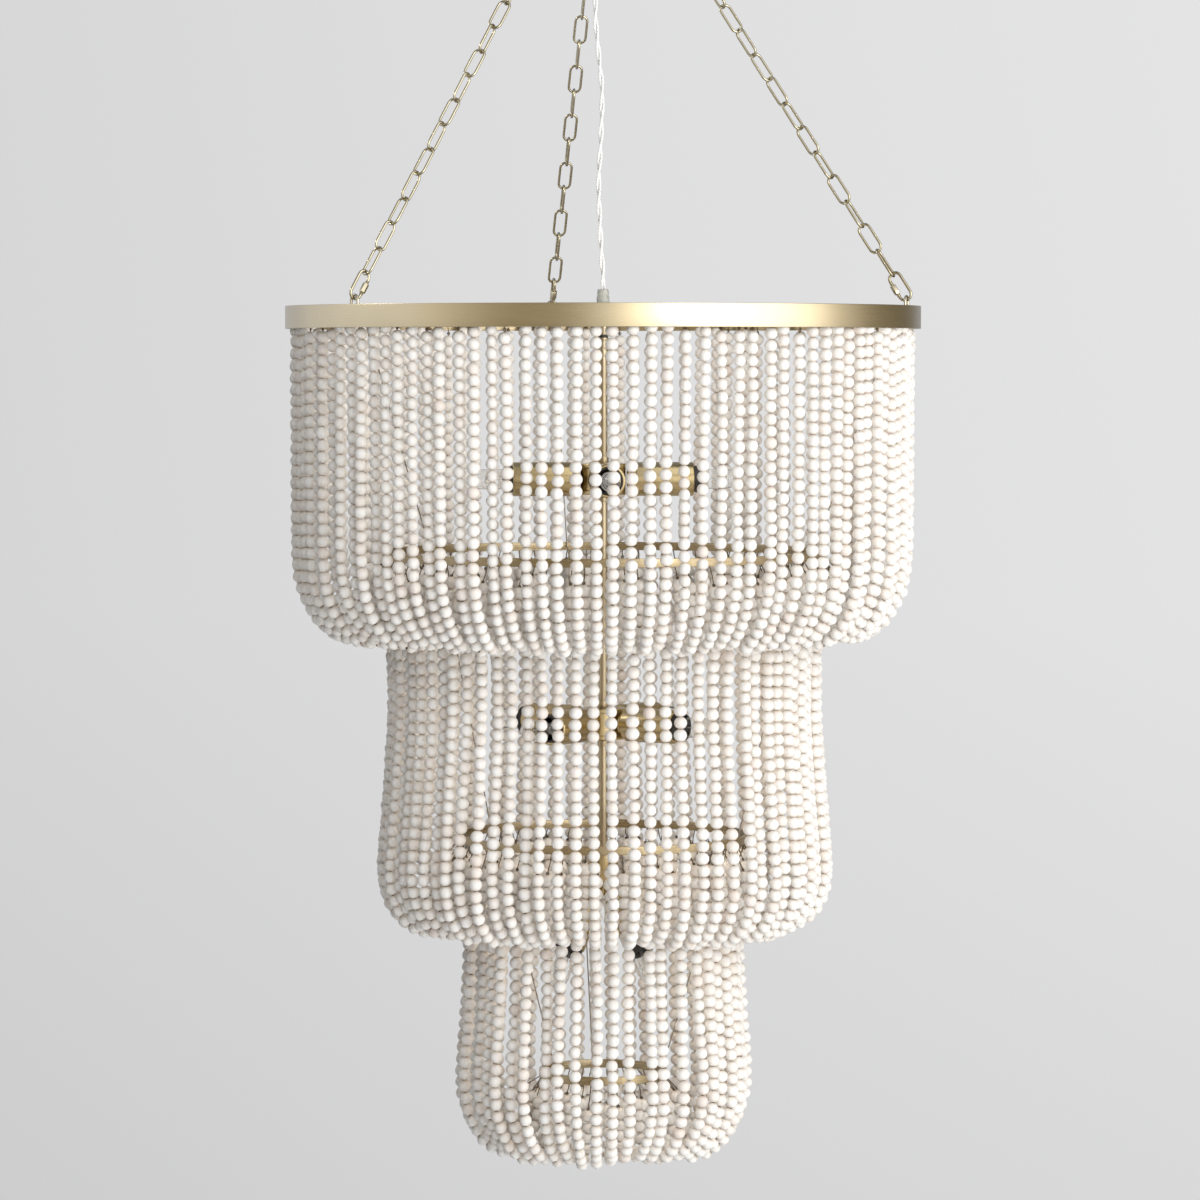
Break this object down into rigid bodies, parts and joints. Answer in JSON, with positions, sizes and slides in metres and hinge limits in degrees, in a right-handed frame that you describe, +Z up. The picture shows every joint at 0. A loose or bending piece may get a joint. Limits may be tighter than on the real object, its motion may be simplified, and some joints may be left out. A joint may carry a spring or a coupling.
{
  "type": "chandelier",
  "caption": "tiered ceiling chandelier of draped bead strands on hoops hung one below the other, with lamp clusters on a central stem and chains up to a ceiling canopy",
  "frame": {"origin": "centre of the ceiling bracket's top face, which lies against the ceiling", "axes": "+Z is up, out of the bracket's top face; -Y faces the viewer in the picture; +X is to the viewer's right; azimuths grow from -Y towards +X"},
  "size_m": [0.632, 0.632, 1.4346],
  "materials": {
    "brass": "satin champagne brass",
    "bracket_steel": "zinc plated",
    "dark_wire": "dark bronze",
    "wood_beads": "matt whitewash",
    "bulb_glass": "clear gloss",
    "grommet": "matt",
    "relief_plastic": "translucent grey",
    "flex": "clear twisted flex"
  },
  "bodies": {
    "canopy": {"ceiling_bracket": "bracket_steel", "ceiling_canopy": "brass", "hanging_loop": "brass", "loop_collar": "brass", "cord_bushing": "grommet"},
    "master_ring": {"master_ring": "brass"},
    "fixture": {"quick_link_left": "brass", "chain_left": "brass", "quick_link_right": "brass", "chain_right": "brass", "quick_link_back": "brass", "chain_back": "brass", "top_ring": "brass", "middle_ring": "brass", "lower_ring": "brass", "bottom_ring": "brass", "strain_relief": "relief_plastic", "stem_coupling": "brass", "upper_stem": "brass", "middle_stem": "brass", "lower_stem": "brass", "upper_hub": "brass", "middle_hub": "brass", "bottom_hub": "brass", "upper_socket_1": "brass", "upper_socket_2": "brass", "upper_socket_3": "brass", "upper_socket_4": "brass", "middle_socket_1": "brass", "middle_socket_2": "brass", "middle_socket_3": "brass", "middle_socket_4": "brass", "bottom_socket_1": "brass", "bottom_socket_2": "brass", "bottom_socket_3": "brass", "bottom_socket_4": "brass", "hanger_wire_left": "dark_wire", "hanger_wire_right": "dark_wire", "hanger_wire_back": "dark_wire", "upper_strands_right": "wood_beads", "upper_strands_back": "wood_beads", "upper_strands_left": "wood_beads", "middle_strands_right": "wood_beads", "middle_strands_back": "wood_beads", "middle_strands_left": "wood_beads", "lower_strands_right": "wood_beads", "lower_strands_left": "wood_beads", "power_cord": "flex"},
    "upper_bulb_1": {"upper_bulb_1": "bulb_glass"},
    "upper_bulb_2": {"upper_bulb_2": "bulb_glass"},
    "upper_bulb_3": {"upper_bulb_3": "bulb_glass"},
    "upper_bulb_4": {"upper_bulb_4": "bulb_glass"},
    "middle_bulb_1": {"middle_bulb_1": "bulb_glass"},
    "middle_bulb_2": {"middle_bulb_2": "bulb_glass"},
    "middle_bulb_3": {"middle_bulb_3": "bulb_glass"},
    "middle_bulb_4": {"middle_bulb_4": "bulb_glass"},
    "bottom_bulb_1": {"bottom_bulb_1": "bulb_glass"},
    "bottom_bulb_2": {"bottom_bulb_2": "bulb_glass"},
    "bottom_bulb_3": {"bottom_bulb_3": "bulb_glass"},
    "bottom_bulb_4": {"bottom_bulb_4": "bulb_glass"}
  },
  "joints": [
    {"name": "ring_swing_x", "type": "hinge", "parent": "canopy", "child": "master_ring", "pos_m": [0, 0, -0.06385], "axis": [1, 0, 0], "range_deg": [-10, 10], "deforming": ["power_cord"]},
    {"name": "fixture_swing_y", "type": "hinge", "parent": "master_ring", "child": "fixture", "pos_m": [0, 0, -0.09855], "axis": [0, 1, 0], "range_deg": [-10, 10], "deforming": ["power_cord"]},
    {"name": "upper_bulb_1_unscrew", "type": "slide", "parent": "fixture", "child": "upper_bulb_1", "axis": [0.061, -0.9981, 0], "range_m": [0, 0.028]},
    {"name": "upper_bulb_2_unscrew", "type": "slide", "parent": "fixture", "child": "upper_bulb_2", "axis": [0.9981, 0.061, 0], "range_m": [0, 0.028]},
    {"name": "upper_bulb_3_unscrew", "type": "slide", "parent": "fixture", "child": "upper_bulb_3", "axis": [-0.061, 0.9981, 0], "range_m": [0, 0.028]},
    {"name": "upper_bulb_4_unscrew", "type": "slide", "parent": "fixture", "child": "upper_bulb_4", "axis": [-0.9981, -0.061, 0], "range_m": [0, 0.028]},
    {"name": "middle_bulb_1_unscrew", "type": "slide", "parent": "fixture", "child": "middle_bulb_1", "axis": [0.8192, -0.5736, 0], "range_m": [0, 0.028]},
    {"name": "middle_bulb_2_unscrew", "type": "slide", "parent": "fixture", "child": "middle_bulb_2", "axis": [0.5736, 0.8192, 0], "range_m": [0, 0.028]},
    {"name": "middle_bulb_3_unscrew", "type": "slide", "parent": "fixture", "child": "middle_bulb_3", "axis": [-0.8192, 0.5736, 0], "range_m": [0, 0.028]},
    {"name": "middle_bulb_4_unscrew", "type": "slide", "parent": "fixture", "child": "middle_bulb_4", "axis": [-0.5736, -0.8192, 0], "range_m": [0, 0.028]},
    {"name": "bottom_bulb_1_unscrew", "type": "slide", "parent": "fixture", "child": "bottom_bulb_1", "axis": [-0.3546, -0.3938, -0.848], "range_m": [0, 0.028]},
    {"name": "bottom_bulb_2_unscrew", "type": "slide", "parent": "fixture", "child": "bottom_bulb_2", "axis": [0.3938, -0.3546, -0.848], "range_m": [0, 0.028]},
    {"name": "bottom_bulb_3_unscrew", "type": "slide", "parent": "fixture", "child": "bottom_bulb_3", "axis": [0.3546, 0.3938, -0.848], "range_m": [0, 0.028]},
    {"name": "bottom_bulb_4_unscrew", "type": "slide", "parent": "fixture", "child": "bottom_bulb_4", "axis": [-0.3938, 0.3546, -0.848], "range_m": [0, 0.028]}
  ]
}
